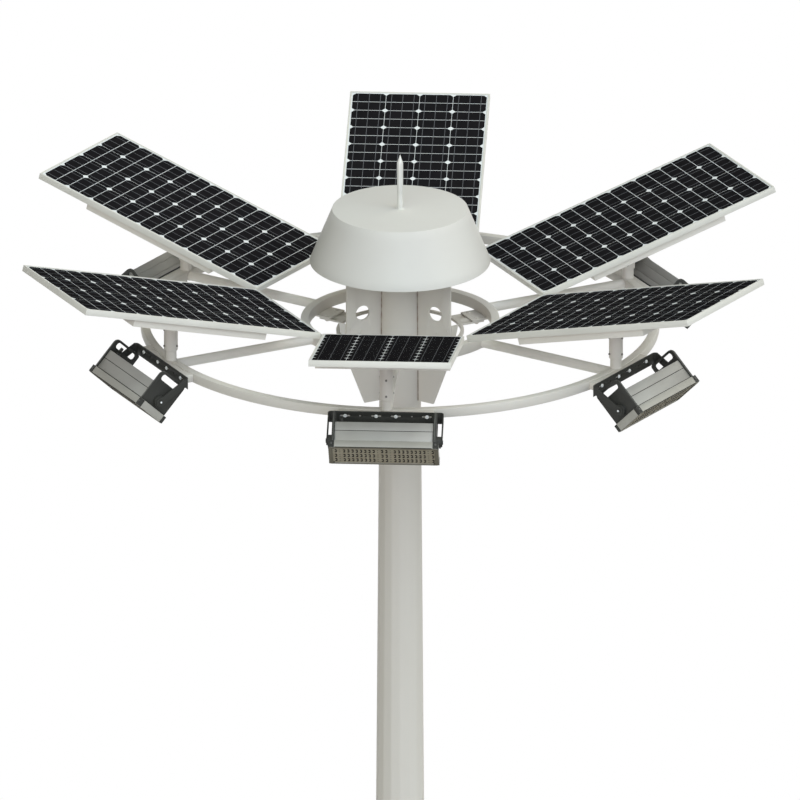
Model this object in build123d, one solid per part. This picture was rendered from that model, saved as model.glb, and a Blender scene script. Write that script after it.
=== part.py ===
from build123d import *
import os
from math import cos, pi

os.makedirs("parts", exist_ok=True)

# A solar high mast floodlight. A tapered sixteen-sided steel mast stands on a
# bolted base flange. Near its top, six tubular spokes carry a square-tube ring
# with a floodlight on a yoke and a tilted solar panel on a post at the end of
# each spoke. A sheet-metal rain hat and a lightning spike close the mast.
# Millimetres, +Z up, origin in the middle of the base flange's underside.
# The front arm points along -Y. Levels with LOCAL in their comment count from
# the top plane of the big ring.

# the whole mast
RING_TOP = 14168.0
ARMS = 6
ARM_STEP = 360.0 / ARMS
FACES = 16
FACE_STEP = 360.0 / FACES
MAST_TWIST = 3.0
SHEET = 5.0
BASE_DIA = 393.0
TAPER = 0.01494
JOINT_LOW = 7000.0
JOINT_HIGH = 7600.0
SLIP_GAP = 0.3

# base flange and its ribs
FLANGE_DIA = 660.0
FLANGE_T = 30.0
BOLT_EDGE = 55.0
BOLT_CIRCLE = FLANGE_DIA - 2 * BOLT_EDGE
BOLTS = 8
BOLT_HOLE = 34.0
RIB_T = 12.0
RIB_TALL = 180.0
RIB_REACH = 118.0
RIB_LIP = 20.0

# service door low on the mast
DOOR_MID = 900.0
DOOR_WIDE = 110.0
DOOR_TALL = 420.0
DOOR_FRAME_BAR = 12.0
DOOR_FRAME_DEEP = 34.0
DOOR_GAP = 2.0
DOOR_T = 4.0
DOOR_FACE = 8
DOOR_CLAMP_AT = 130.0
DOOR_CLAMP_TALL = 24.0
DOOR_LOCK_DIA = 12.0

# hat and spike, LOCAL levels
HAT_LOW = 296.0
HAT_HIGH = 558.0
HAT_LOW_R = 429.0
HAT_HIGH_R = 322.0
HAT_T = 3.0
SPIKE_DIA = 29.0
SPIKE_TIP = 832.0
SPIKE_TAPER = 43.0
SPIKE_FOOT_DIA = 44.0
SPIKE_FOOT_T = 3.0

# hub sleeve of the head, slid over the mast, and its gusset plates, LOCAL levels
HUB_GAP = 0.5
HUB_SHEET = 6.0
GUSSET_T = 10.0
GUSSET_CUT_R = 190.0
GUSSET_SHOULDER = -146.0
GUSSET_FOOT = -392.0
GUSSET_HOLE_DIA = 72.0
GUSSET_HOLE_R = 201.0
GUSSET_HOLE_AT = 66.0
GUSSET_ARMS = (1, 3, 5)

# small hoop, tie plates and lugs, LOCAL levels
HOOP_R = 303.5
HOOP_WIDE = 17.5
HOOP_TOP = -52.0
HOOP_T = 13.0
GUSSET_R = HOOP_R - HOOP_WIDE
TIE_WIDE = 128.0
TIE_T = 8.0
TIE_LAP = 60.0
TIE_MID_R = 385.0
TIE_ARMS = (0, 2, 4)
TIE_BOLT = 12.0
TIE_BOLT_SIDE = 84.0
LUG_IN_R = 192.0
LUG_IN_UP = -18.0
LUG_TIP_R = 324.0
LUG_TIP_UP = 36.0
LUG_T = 6.0
LUG_SIDES = (1, 1, -1)

# inner ring, spokes and outer ring, LOCAL levels
INNER_R = 472.0
INNER_WIDE = 40.0
INNER_TOP = 6.0
INNER_TALL = 54.0
RING_R = 1231.0
RING_WIDE = 39.0
RING_UP = 3.0
RING_TALL = 45.0
TUBE_WALL = 4.0
SPOKE_DIA = 46.0
SPOKE_WALL = 3.5
SPOKE_AXIS = -24.0

# mounting pads for the floodlights on the outside of the big ring
PAD_STAND = 26.0
PAD_FACE_R = RING_R + PAD_STAND
PAD_LONG = 446.0
PAD_LOW = -38.0
PAD_WALL = 5.0

# posts, panels and the trays that hold them
POST_INSET = 14.0
POST_R = RING_R - POST_INSET
STUB_DIA = 54.0
STUB_WALL = 4.0
STUB_TALL = 187.0
SLEEVE_DIA = 66.0
SLEEVE_LOW = 52.0
SLEEVE_GAP = 0.3
SLEEVE_CHAMFER = 3.0
PANEL_TILT = 15.0
PANEL_INSET = 8.0
PANEL_MID_R = POST_R - PANEL_INSET
PANEL_MID_AT = 306.0
PANEL_WIDE = 670.0
PANEL_LONG = 1280.0
PANEL_T = 30.0
PANEL_LIP = 9.0
PANEL_FOOT = 26.0
PANEL_SHEET = 1.8
GLASS_T = 5.0
GLASS_DROP = 1.2
TRAY_END_INSET = 279.0
TRAY_SIDE_INSET = 17.0
TRAY_HALF_LONG = PANEL_LONG / 2 - TRAY_END_INSET
TRAY_HALF_WIDE = PANEL_WIDE / 2 - TRAY_SIDE_INSET
TRAY_DEEP = 36.0
TRAY_LEG = 36.0
TRAY_SHEET = 3.0
TRAY_BEAM = 150.0

# floodlights: pivot and yoke, LOCAL levels
PIVOT_OUT = 150.0
PIVOT_R = PAD_FACE_R + PIVOT_OUT
PIVOT_AT = -90.0
YOKE_WIDE = 547.0
YOKE_SHEET = 6.0
YOKE_TOP = 4.0
YOKE_BAR_TALL = 55.5
YOKE_BEND = 18.0
YOKE_EYE_R = 22.0
YOKE_ARM_TALL = 40.0
YOKE_NECK_UP = 18.0
YOKE_SLOT_DOWN = 21.5
SLOT_AT = (46.5, 193.0)
SLOT_LONG = 48.0
SLOT_WIDE = 9.0
KEY_DIA = 17.0
DIMPLE_AT = 122.0
DIMPLE_DIA = 9.0
PIN_DIA = 12.0
PIN_GAP = 0.05
PIN_HEAD = 22.0
PIN_HEAD_T = 3.0

# floodlight body: OUT counts from the pivot toward the light-giving face,
# UP counts across the body toward its upper edge
LAMP_TILTS = (48.0, 45.0, 45.0, 45.0, 45.0, 43.0)
LAMP_LONG = 492.0
END_T = 14.0
END_BACK = -127.0
END_FRONT = 40.0
END_UP = 82.0
END_DOWN = -78.0
END_ROUND_UP = 26.0
END_ROUND_DOWN = 14.0
END_SLOT_MID = -101.0
END_SLOT_WIDE = 30.0
END_SLOT_LONG = 126.0
END_SLOT_UP = 1.0
END_SLOT_ROUND = 12.0
BOSS_DIA = 56.0
BODY_BACK = -62.0
BODY_UP = 76.0
BODY_DOWN = -72.0
BODY_WALL = 4.0
BODY_GROOVE = 3.0
GROOVE_AT = -17.0
BACK_GROOVE_AT = 42.0
FACE_OUT = 78.0
FACE_HALF = 84.0
FACE_ROUND = 12.0
FACE_LONG = 519.0
FACE_RIM = 9.0
FACE_DROP = 5.0
LENS_T = 2.0
LENS_SEAT = 4.0


def corner_radius(level, outward=0.0):
    """Corner radius of the upper mast's outside at a level, moved by outward."""
    flat_gap = SHEET + SLIP_GAP
    base = BASE_DIA / 2 + flat_gap / cos(pi / FACES)
    return base - TAPER * level / 2 + outward / cos(pi / FACES)


def mast_solid(low, high, outward):
    """Closed sixteen-sided taper between two levels."""
    rings = []
    for level in (low, high):
        ring = RegularPolygon(corner_radius(level, outward), FACES)
        rings.append(Pos(0, 0, level) * Rot(0, 0, MAST_TWIST) * ring)
    return loft(rings)


def arm_spin(arm):
    """Turn from the front arm to another arm."""
    return Rot(0, 0, ARM_STEP * arm)


def ring_tube(outer_r, wide, top, tall, wall):
    """Hollow box-section ring, lying level."""
    mid = Pos(0, 0, RING_TOP + top - tall / 2)
    section = Pos(outer_r - wide / 2, 0) * Rectangle(wide, tall)
    if wall > 0:
        section -= Pos(outer_r - wide / 2, 0) * Rectangle(wide - 2 * wall, tall - 2 * wall)
    return mid * revolve(Plane.XZ * section, Axis.Z)


def save(name, pieces):
    """One file for each named piece, with its repeats side by side."""
    flat = []
    for piece in pieces:
        flat.extend(piece.solids())
    shape = flat[0] if len(flat) == 1 else Compound(children=flat)
    shape.label = name
    export_step(shape, "parts/" + name + ".step")


# mast shaft in two sections that slide over each other
TOP_END = RING_TOP + HAT_HIGH - HAT_T
LOWER_SHRINK = -(SHEET + SLIP_GAP)
lower = mast_solid(FLANGE_T, JOINT_HIGH, LOWER_SHRINK)
lower -= mast_solid(FLANGE_T - 1, JOINT_HIGH + 1, LOWER_SHRINK - SHEET)
upper_skin = mast_solid(JOINT_LOW, TOP_END, 0)
upper = upper_skin - mast_solid(JOINT_LOW - 1, TOP_END + 1, -SHEET)
lower_skin = mast_solid(FLANGE_T, JOINT_LOW, LOWER_SHRINK)

# door opening in one flat face near the base, with its frame and cover
door_turn = Rot(0, 0, MAST_TWIST + FACE_STEP * (DOOR_FACE + 0.5))
door_face_r = corner_radius(DOOR_MID, LOWER_SHRINK) * cos(pi / FACES)


def door_slot(wide, tall):
    """Upright slot with round ends."""
    return SlotOverall(tall, wide, rotation=90)


door_plane = door_turn * Pos(door_face_r, 0, DOOR_MID) * Rot(0, 90, 0) * Rot(0, 0, 90)
frame_wide = DOOR_WIDE + 2 * DOOR_FRAME_BAR
frame_tall = DOOR_TALL + 2 * DOOR_FRAME_BAR
frame_cut = extrude(door_slot(frame_wide, frame_tall), DOOR_FRAME_DEEP, both=True)
lower -= door_plane * frame_cut
frame_body = extrude(door_slot(frame_wide, frame_tall), DOOR_FRAME_DEEP / 2, both=True)
frame_body -= extrude(door_slot(DOOR_WIDE, DOOR_TALL), DOOR_FRAME_DEEP, both=True)
door_frame = door_plane * Pos(0, 0, -DOOR_FRAME_DEEP / 2 + DOOR_T) * frame_body
cover = extrude(door_slot(DOOR_WIDE - DOOR_GAP, DOOR_TALL - DOOR_GAP), DOOR_T)
for side in (-1, 1):
    clamp_at = Pos(0, side * DOOR_CLAMP_AT, 0)
    cover += clamp_at * Pos(0, 0, -DOOR_T) * Box(DOOR_WIDE - 0.6, DOOR_CLAMP_TALL, 2 * DOOR_T)
    cover -= clamp_at * Cylinder(DOOR_LOCK_DIA / 2, 6 * DOOR_T)
access_door = door_plane * cover
save("mast_lower_section", [lower])
save("mast_upper_section", [upper])
save("door_frame", [door_frame])
save("access_door", [access_door])

# base flange with its bolt holes, and ribs on every other face of the shaft
flange = Pos(0, 0, FLANGE_T / 2) * Cylinder(FLANGE_DIA / 2, FLANGE_T)
flange = fillet(flange.edges().group_by(Axis.Z)[-1], 3)
rib_shape = Polyline(
    (-RIB_REACH, 0),
    (RIB_REACH, 0),
    (RIB_REACH, RIB_LIP),
    (RIB_LIP, RIB_TALL),
    (-RIB_REACH, RIB_TALL),
    close=True,
)
rib_blank = extrude(Plane.XZ * make_face(rib_shape), RIB_T / 2, both=True)
foot_r = corner_radius(FLANGE_T, LOWER_SHRINK) * cos(pi / FACES)
rib_seat = Pos(foot_r, 0, FLANGE_T)
ribs = []
for n in range(BOLTS):
    rib_angle = MAST_TWIST + FACE_STEP * (2 * n + 0.5)
    rib = Rot(0, 0, rib_angle) * rib_seat * rib_blank
    ribs.append(rib - lower_skin)
    hole_angle = rib_angle + FACE_STEP
    hole_at = Rot(0, 0, hole_angle) * Pos(BOLT_CIRCLE / 2, 0, 0)
    flange -= hole_at * Pos(0, 0, FLANGE_T / 2) * Cylinder(BOLT_HOLE / 2, 2 * FLANGE_T)
save("base_flange", [flange])
save("base_ribs", ribs)

# rain hat: sheet cone, flat lid and a rolled lower edge
hat_lift = Pos(0, 0, RING_TOP + HAT_LOW)
hat_tall = HAT_HIGH - HAT_LOW
hat = hat_lift * Pos(0, 0, hat_tall / 2) * Cone(HAT_LOW_R, HAT_HIGH_R, hat_tall)
slope = (HAT_LOW_R - HAT_HIGH_R) / hat_tall
inner_tall = hat_tall - HAT_T
inner_low = HAT_LOW_R - HAT_T
hat -= hat_lift * Pos(0, 0, inner_tall / 2) * Cone(inner_low, inner_low - slope * inner_tall, inner_tall)
save("rain_hat", [hat])

# lightning spike on a round foot
spike_base = RING_TOP + HAT_HIGH
spike_tall = SPIKE_TIP - HAT_HIGH
spike_shape = Polyline(
    (0, 0),
    (SPIKE_FOOT_DIA / 2, 0),
    (SPIKE_FOOT_DIA / 2, SPIKE_FOOT_T),
    (SPIKE_DIA / 2, SPIKE_FOOT_T),
    (SPIKE_DIA / 2, spike_tall - SPIKE_TAPER),
    (0, spike_tall),
    close=True,
)
spike = Pos(0, 0, spike_base) * revolve(Plane.XZ * make_face(spike_shape), Axis.Z)
save("lightning_spike", [spike])

# hoop round the gussets
hoop = ring_tube(HOOP_R, HOOP_WIDE, HOOP_TOP, HOOP_T, 0)
save("hoop", [hoop])

# sleeve that carries the head: it slides over the tapered top of the mast
hub_foot = RING_TOP + GUSSET_FOOT
hub_skin = mast_solid(hub_foot, TOP_END, HUB_GAP + HUB_SHEET)
hub_sleeve = hub_skin - mast_solid(hub_foot - 1, TOP_END + 1, HUB_GAP)
save("hub_sleeve", [hub_sleeve])

# upright gusset plates: they carry the hat lid and the hoop
gusset_shape = Polyline(
    (0, TOP_END - RING_TOP),
    (GUSSET_R, TOP_END - RING_TOP),
    (GUSSET_R, GUSSET_SHOULDER),
    (GUSSET_CUT_R, GUSSET_FOOT),
    (0, GUSSET_FOOT),
    close=True,
)
gusset_face = make_face(gusset_shape) - Pos(GUSSET_HOLE_R, GUSSET_HOLE_AT) * Circle(GUSSET_HOLE_DIA / 2)
gusset_blank = Pos(0, 0, RING_TOP) * extrude(Plane.XZ * gusset_face, GUSSET_T / 2, both=True)
gusset_blank -= hoop

# pointed lugs that stand on the hoop and are bolted to the gussets
lug_shape = Polyline(
    (LUG_IN_R, HOOP_TOP),
    (LUG_IN_R, LUG_IN_UP),
    (LUG_TIP_R, LUG_TIP_UP),
    (HOOP_R, HOOP_TOP),
    close=True,
)
lug_blank = extrude(Plane.XZ * make_face(lug_shape), LUG_T / 2, both=True)
lug_side = GUSSET_T / 2 + LUG_T / 2
gussets = []
lugs = []
for arm, side in zip(GUSSET_ARMS, LUG_SIDES):
    turn = arm_spin(arm) * Rot(0, 0, -90)
    gussets.append(turn * gusset_blank - hub_skin)
    lugs.append(turn * Pos(0, side * lug_side, RING_TOP) * lug_blank)
save("gusset_plates", gussets)
save("hoop_lugs", lugs)

# inner ring, outer ring and the spokes between them
inner_ring = ring_tube(INNER_R, INNER_WIDE, INNER_TOP, INNER_TALL, TUBE_WALL)
outer_ring = ring_tube(RING_R, RING_WIDE, RING_UP, RING_TALL, TUBE_WALL)
save("inner_ring", [inner_ring])
save("outer_ring", [outer_ring])
ring_zone = ring_tube(INNER_R, INNER_WIDE, INNER_TOP, INNER_TALL, 0)
ring_zone += ring_tube(RING_R, RING_WIDE, SPOKE_AXIS + SPOKE_DIA, 2 * SPOKE_DIA, 0)
spoke_mid = (INNER_R + RING_R - RING_WIDE) / 2
spoke_reach = RING_R - RING_WIDE - INNER_R + 40
spoke_blank = Cylinder(SPOKE_DIA / 2, spoke_reach) - Cylinder(SPOKE_DIA / 2 - SPOKE_WALL, spoke_reach)
spoke_blank = Pos(0, -spoke_mid, RING_TOP + SPOKE_AXIS) * Rot(90, 0, 0) * spoke_blank
spoke_blank -= ring_zone
spokes = [arm_spin(arm) * spoke_blank for arm in range(ARMS)]
save("spokes", spokes)

# lapped tie plates from the inner ring to the hoop
tie_level = RING_TOP + INNER_TOP - INNER_TALL
outer_start = TIE_MID_R - TIE_LAP / 2
outer_end = INNER_R - 4
inner_end = TIE_MID_R + TIE_LAP / 2
inner_start = HOOP_R - 12


def tie_plate(start, end, top):
    """Level plate across an arm between two distances from the mast."""
    plate = Pos(0, -(start + end) / 2, top - TIE_T / 2) * Box(TIE_WIDE, end - start, TIE_T)
    for side in (-1, 1):
        plate -= Pos(side * TIE_BOLT_SIDE / 2, -TIE_MID_R, top) * Cylinder(TIE_BOLT / 2, 4 * TIE_T)
    return plate


outer_tie = tie_plate(outer_start, outer_end, tie_level)
inner_tie = tie_plate(inner_start, inner_end, tie_level - TIE_T)
inner_tie -= hoop
save("tie_plates", [arm_spin(arm) * tie for arm in TIE_ARMS for tie in (outer_tie, inner_tie)])

# hollow pads on the outside of the big ring, closed by the ring at the back
pad_tall = -PAD_LOW
pad_deep = PAD_FACE_R - RING_R + 40
pad_mid = -(PAD_FACE_R - pad_deep / 2)
pad = Pos(0, pad_mid, RING_TOP + PAD_LOW + pad_tall / 2) * Box(PAD_LONG, pad_deep, pad_tall)
pad_core = Box(PAD_LONG - 2 * PAD_WALL, pad_deep, pad_tall - 2 * PAD_WALL)
pad -= Pos(0, pad_mid + PAD_WALL, RING_TOP + PAD_LOW + pad_tall / 2) * pad_core
pad -= Pos(0, 0, RING_TOP) * Cylinder(RING_R, 4 * RING_TALL)
save("lamp_pads", [arm_spin(arm) * pad for arm in range(ARMS)])

# posts: a welded stub on the ring and a sleeve held to it by set screws
stub = Cylinder(STUB_DIA / 2, STUB_TALL) - Cylinder(STUB_DIA / 2 - STUB_WALL, STUB_TALL)
stub = Pos(0, -POST_R, RING_TOP + RING_UP + STUB_TALL / 2) * stub
save("post_stubs", [arm_spin(arm) * stub for arm in range(ARMS)])

# frame of a tilted panel: X across, Y outward and upward, Z square to the glass
panel_place = Pos(0, -PANEL_MID_R, RING_TOP + PANEL_MID_AT) * Rot(-PANEL_TILT, 0, 0) * Rot(0, 0, 180)
tray_low = -(PANEL_T + TRAY_DEEP)
sleeve = Pos(0, 0, PANEL_MID_AT / 2) * Cylinder(SLEEVE_DIA / 2, PANEL_MID_AT)
sleeve = chamfer(sleeve.edges().group_by(Axis.Z)[0], SLEEVE_CHAMFER)
sleeve -= Pos(0, 0, PANEL_MID_AT / 2) * Cylinder(STUB_DIA / 2 + SLEEVE_GAP, PANEL_MID_AT)
sleeve = Pos(0, -POST_R, RING_TOP + SLEEVE_LOW) * sleeve
sleeve_cut = Pos(0, 0, tray_low + PANEL_MID_AT / 2) * Box(PANEL_WIDE, PANEL_WIDE, PANEL_MID_AT)
sleeve -= panel_place * sleeve_cut
save("post_sleeves", [arm_spin(arm) * sleeve for arm in range(ARMS)])


def c_rail(length):
    """Folded channel along X, web at +Y, open toward -Y, top at Z = 0."""
    outer = Pos(0, -TRAY_LEG / 2, -TRAY_DEEP / 2) * Box(length, TRAY_LEG, TRAY_DEEP)
    inner = Pos(0, -TRAY_LEG / 2 - TRAY_SHEET, -TRAY_DEEP / 2)
    inner *= Box(length, TRAY_LEG, TRAY_DEEP - 2 * TRAY_SHEET)
    return outer - inner


# tray under each panel: two rails, two end bars and a middle beam on the sleeve
side_rail = Rot(0, 0, -90) * c_rail(2 * TRAY_HALF_LONG)
end_bar = c_rail(2 * TRAY_HALF_WIDE)
tray = Pos(TRAY_HALF_WIDE, 0, -PANEL_T) * side_rail
tray += Pos(-TRAY_HALF_WIDE, 0, -PANEL_T) * Rot(0, 0, 180) * side_rail
tray += Pos(0, TRAY_HALF_LONG, -PANEL_T) * end_bar
tray += Pos(0, -TRAY_HALF_LONG, -PANEL_T) * Rot(0, 0, 180) * end_bar
beam_long = 2 * (TRAY_HALF_WIDE - TRAY_LEG)
beam = Box(beam_long, TRAY_BEAM, TRAY_DEEP)
beam -= Pos(0, 0, TRAY_SHEET) * Box(beam_long, TRAY_BEAM - 2 * TRAY_SHEET, TRAY_DEEP)
tray += Pos(0, 0, tray_low + TRAY_DEEP / 2) * beam
save("panel_trays", [arm_spin(arm) * panel_place * tray for arm in range(ARMS)])

# panel frame: thin aluminium section with a lip over the glass and a foot below
frame_shape = Pos(0, 0, -PANEL_T / 2) * Box(PANEL_WIDE, PANEL_LONG, PANEL_T)
core_tall = PANEL_T - GLASS_DROP - PANEL_SHEET
core = Pos(0, 0, -GLASS_DROP - core_tall / 2)
core *= Box(PANEL_WIDE - 2 * PANEL_SHEET, PANEL_LONG - 2 * PANEL_SHEET, core_tall)
foot_hole = Pos(0, 0, -PANEL_T)
foot_hole *= Box(PANEL_WIDE - 2 * PANEL_FOOT, PANEL_LONG - 2 * PANEL_FOOT, PANEL_T)
lip_hole = Box(PANEL_WIDE - 2 * PANEL_LIP, PANEL_LONG - 2 * PANEL_LIP, PANEL_T)
panel_frame = frame_shape - core - foot_hole - lip_hole
glass = Pos(0, 0, -GLASS_DROP - GLASS_T / 2)
glass *= Box(PANEL_WIDE - 2 * PANEL_SHEET, PANEL_LONG - 2 * PANEL_SHEET, GLASS_T)
save("panel_frames", [arm_spin(arm) * panel_place * panel_frame for arm in range(ARMS)])
save("panel_laminates", [arm_spin(arm) * panel_place * glass for arm in range(ARMS)])

# yoke: a flat bar with slots, bent at both ends into arms with a pivot eye
slot_level = YOKE_TOP - YOKE_SLOT_DOWN
half = YOKE_WIDE / 2
yoke_path = Polyline(
    (-half, -PIVOT_OUT - YOKE_EYE_R),
    (-half, 0),
    (half, 0),
    (half, -PIVOT_OUT - YOKE_EYE_R),
    (half - YOKE_SHEET, -PIVOT_OUT - YOKE_EYE_R),
    (half - YOKE_SHEET, -YOKE_SHEET),
    (-half + YOKE_SHEET, -YOKE_SHEET),
    (-half + YOKE_SHEET, -PIVOT_OUT - YOKE_EYE_R),
    close=True,
)
yoke_strap = extrude(make_face(yoke_path), 400, both=True)
bend_edges = yoke_strap.edges().filter_by(Axis.Z).filter_by(
    lambda e: abs(e.center().Y) < 0.01 and abs(abs(e.center().X) - half) < 0.01
)
yoke_strap = fillet(bend_edges, YOKE_BEND)
inner_bends = yoke_strap.edges().filter_by(Axis.Z).filter_by(
    lambda e: abs(e.center().Y + YOKE_SHEET) < 0.01 and abs(abs(e.center().X) - half + YOKE_SHEET) < 0.01
)
yoke_strap = fillet(inner_bends, YOKE_BEND - YOKE_SHEET)
top_z = YOKE_TOP
low_z = YOKE_TOP - YOKE_BAR_TALL
side_shape = Polyline(
    (1, top_z),
    (-YOKE_BEND, top_z),
    (-PIVOT_OUT, PIVOT_AT + YOKE_NECK_UP),
    (-PIVOT_OUT, PIVOT_AT - YOKE_EYE_R),
    (-YOKE_BEND, YOKE_TOP - YOKE_ARM_TALL),
    (-YOKE_SHEET, low_z),
    (1, low_z),
    close=True,
)
side_face = make_face(side_shape) + Pos(-PIVOT_OUT, PIVOT_AT) * Circle(YOKE_EYE_R)
side_prism = extrude(Plane.YZ * side_face, YOKE_WIDE, both=True)
yoke = yoke_strap & side_prism
for side in (-1, 1):
    for at in SLOT_AT:
        slot = Pos(side * at, slot_level) * (
            SlotOverall(SLOT_LONG, SLOT_WIDE) + Circle(KEY_DIA / 2)
        )
        yoke -= extrude(Plane.XZ * slot, 2 * YOKE_SHEET, both=True)
    dimple = Pos(side * DIMPLE_AT, slot_level) * Circle(DIMPLE_DIA / 2)
    yoke -= extrude(Plane.XZ * dimple, 2 * YOKE_SHEET, both=True)
pin_hole = Pos(0, -PIVOT_OUT, PIVOT_AT) * Rot(0, 90, 0) * Cylinder(PIN_DIA / 2 + PIN_GAP, 2 * YOKE_WIDE)
yoke -= pin_hole
yoke = Pos(0, -PAD_FACE_R, RING_TOP) * yoke
save("lamp_yokes", [arm_spin(arm) * yoke for arm in range(ARMS)])


# lamp body: one long hollow extrusion with grooves on top, below and at the back
body_tall = BODY_UP - BODY_DOWN
body_mid = (BODY_UP + BODY_DOWN) / 2
chamber = Pos(-(BODY_BACK + END_FRONT) / 2, body_mid) * Rectangle(END_FRONT - BODY_BACK, body_tall)
hollow = Pos(-(BODY_BACK + END_FRONT) / 2, body_mid)
hollow *= Rectangle(END_FRONT - BODY_BACK - 2 * BODY_WALL, body_tall - 2 * BODY_WALL)
section = chamber - hollow
for edge in (BODY_UP, BODY_DOWN):
    section -= Pos(-GROOVE_AT, edge) * Rectangle(BODY_GROOVE, BODY_GROOVE)
for up in (-BACK_GROOVE_AT, 0, BACK_GROOVE_AT):
    section -= Pos(-BODY_BACK, up) * Rectangle(BODY_GROOVE, BODY_GROOVE)
inner_long = LAMP_LONG - 2 * END_T
body = extrude(Plane.YZ * section, inner_long / 2, both=True)

# black end plates with a handle slot, a pivot boss, its pin and a hexagon head
end_mid = Pos(-(END_BACK + END_FRONT) / 2, (END_UP + END_DOWN) / 2)
plate = end_mid * Rectangle(END_FRONT - END_BACK, END_UP - END_DOWN)
back_corners = plate.vertices().group_by(Axis.X)[-1].sort_by(Axis.Y)
plate = fillet(back_corners[-1], END_ROUND_UP)
low_corner = plate.vertices().group_by(Axis.Y)[0].sort_by(Axis.X)[-1]
plate = fillet(low_corner, END_ROUND_DOWN)
plate -= Pos(-END_SLOT_MID, END_SLOT_UP) * RectangleRounded(END_SLOT_WIDE, END_SLOT_LONG, END_SLOT_ROUND)
boss_long = (YOKE_WIDE - 2 * YOKE_SHEET - LAMP_LONG) / 2 - 0.3
ends = []
for side in (-1, 1):
    end = Pos(side * (LAMP_LONG / 2 - END_T), 0, 0) * extrude(Plane.YZ * plate, side * END_T)
    boss = Rot(0, 90, 0) * Cylinder(BOSS_DIA / 2, boss_long)
    end += Pos(side * (LAMP_LONG / 2 + boss_long / 2), 0, 0) * boss
    pin_from = LAMP_LONG / 2 + boss_long
    pin_long = YOKE_SHEET + 0.6
    pin = Pos(side * (pin_from + pin_long / 2), 0, 0) * Rot(0, 90, 0) * Cylinder(PIN_DIA / 2, pin_long)
    end += pin
    head_at = Pos(side * (pin_from + pin_long), 0, 0) * Rot(0, side * 90, 0)
    end += head_at * extrude(RegularPolygon(PIN_HEAD / 2, 6), PIN_HEAD_T)
    ends.append(end)

# light module: shallow tray with a rim, filled by the flat lens plate
rim_deep = FACE_OUT - END_FRONT
module = Pos(0, -(END_FRONT + rim_deep / 2), 0) * Box(FACE_LONG, rim_deep, 2 * FACE_HALF)
module = fillet(module.edges().filter_by(Axis.Y), FACE_ROUND)
pocket = Box(FACE_LONG - 2 * FACE_RIM, 2 * FACE_DROP, 2 * (FACE_HALF - FACE_RIM))
module -= Pos(0, -FACE_OUT, 0) * pocket
chamber_deep = rim_deep - FACE_DROP - LENS_SEAT
chamber_box = Box(FACE_LONG - 2 * FACE_RIM, chamber_deep, 2 * (FACE_HALF - FACE_RIM))
module -= Pos(0, -(END_FRONT + chamber_deep / 2), 0) * chamber_box
lens_plate = Box(FACE_LONG - 2 * FACE_RIM, LENS_T, 2 * (FACE_HALF - FACE_RIM))
lens_plate = Pos(0, -(FACE_OUT - FACE_DROP + LENS_T / 2), 0) * lens_plate

for arm in range(ARMS):
    number = str(arm + 1)
    place = arm_spin(arm) * Pos(0, -PIVOT_R, RING_TOP + PIVOT_AT) * Rot(90 - LAMP_TILTS[arm], 0, 0)
    save("lamp_" + number + "_housing", [place * body])
    save("lamp_" + number + "_end_plates", [place * end for end in ends])
    save("lamp_" + number + "_led_module", [place * module])
    save("lamp_" + number + "_lens_plate", [place * lens_plate])
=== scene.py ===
from math import cos, pi, radians, sin

import bmesh
import bpy
from mathutils import Matrix, Vector


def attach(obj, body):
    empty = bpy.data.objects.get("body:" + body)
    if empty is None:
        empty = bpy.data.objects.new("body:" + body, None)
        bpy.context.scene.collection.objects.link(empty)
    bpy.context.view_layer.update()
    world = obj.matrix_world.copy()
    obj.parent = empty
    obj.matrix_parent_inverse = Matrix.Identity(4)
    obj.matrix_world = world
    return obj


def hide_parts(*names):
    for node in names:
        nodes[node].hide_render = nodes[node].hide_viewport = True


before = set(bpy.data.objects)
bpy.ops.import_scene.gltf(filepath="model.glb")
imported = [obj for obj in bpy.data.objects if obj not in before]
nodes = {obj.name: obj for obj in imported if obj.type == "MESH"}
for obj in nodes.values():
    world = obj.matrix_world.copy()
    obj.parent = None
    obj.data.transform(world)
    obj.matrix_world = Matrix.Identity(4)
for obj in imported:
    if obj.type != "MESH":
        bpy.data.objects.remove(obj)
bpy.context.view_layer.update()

# sizes shared with the CAD model, in metres; levels count from the big ring's top
RING_TOP = 14.168
ARMS = 6
SHAFT_SIDES = 16
BASE_DIA = 0.393
TAPER = 0.01494
SLEEVE_SKIN = 0.0118
RING_R = 1.231
RING_WIDE = 0.039
RING_UP = 0.003
INNER_R = 0.472
SPOKE_R = 0.023
SPOKE_AXIS = -0.024
POST_R = 1.217
STUB_R = 0.027
SLEEVE_R = 0.033
SCREW_LEVELS = (0.077, 0.158)
PANEL_MID_R = 1.209
PANEL_MID_AT = 0.306
PANEL_TILT = 15.0
PANEL_WIDE = 0.670
PANEL_LONG = 1.280
CELL_ACROSS = 0.1609
CELL_ALONG = 0.1393
CELLS_ACROSS = 4
CELLS_ALONG = 9
PAD_FACE_R = 1.257
YOKE_SHEET = 0.006
YOKE_BAR_AT = -0.0175
YOKE_BOLT_AT = (0.0465, 0.193)
PIVOT_R = 1.407
PIVOT_AT = -0.090
LAMP_TILTS = (48.0, 45.0, 45.0, 45.0, 45.0, 43.0)
FACE_OUT = 0.078
FACE_HALF = 0.084
FACE_LONG = 0.519
BODY_UP = 0.076
BODY_DOWN = -0.072
PLATE_IN = 0.232
END_BACK = -0.127
END_FRONT = 0.040
END_UP = 0.082
END_DOWN = -0.078
GUSSET_ARMS = (1, 3, 5)
TIE_ARMS = (0, 2, 4)
TIE_MID_R = 0.385
TIE_BOLT_SIDE = 0.084
TIE_TOP = -0.048
TIE_DEEP = 0.016
GUSSET_FOOT = -0.390
GUSSET_HEAD = 0.553


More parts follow.
